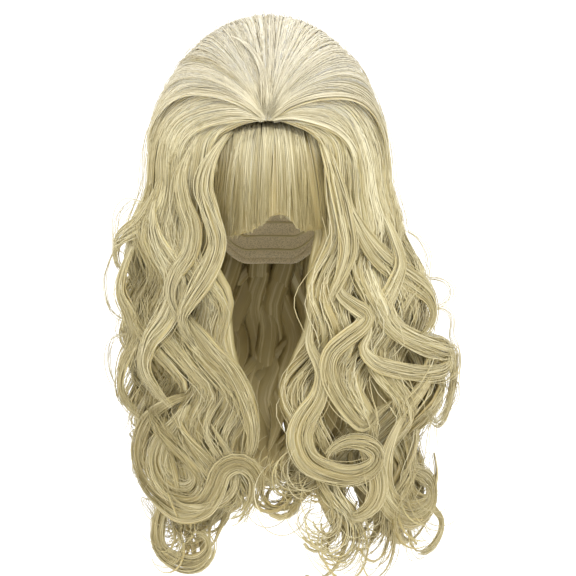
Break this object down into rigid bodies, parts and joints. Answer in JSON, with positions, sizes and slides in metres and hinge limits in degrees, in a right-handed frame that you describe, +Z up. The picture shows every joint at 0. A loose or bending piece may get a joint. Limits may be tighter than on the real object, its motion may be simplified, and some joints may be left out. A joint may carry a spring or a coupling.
{
  "type": "curly wig",
  "caption": "Long curly blond wig on a thin fitted cap, with a high bouffant crown, a soft notched fringe, face-framing curtains and loose barrel curls at the ends.",
  "frame": {"origin": "the seat: the point inside the cap where the top of the wearer's head touches it", "axes": "+Z up as worn, the face looks along -Y, the wearer's left side is at +X"},
  "size_m": [0.3784, 0.2681, 0.6076],
  "materials": {
    "hair": "satin pale blond fibre in waved locks, yellower and deeper between the locks",
    "crown_hair": "satin pale ash-blond fibre, combed smooth over the crown",
    "cap": "matt fine net with sewn rows of wefts"
  },
  "bodies": {
    "root": {"cap": "cap", "crown_hair": "crown_hair", "fringe": "hair", "right_curtain": "hair", "right_side_curls": "hair", "right_back_curls": "hair", "nape_curls": "hair", "left_back_curls": "hair", "left_side_curls": "hair", "left_curtain": "hair"}
  },
  "joints": []
}
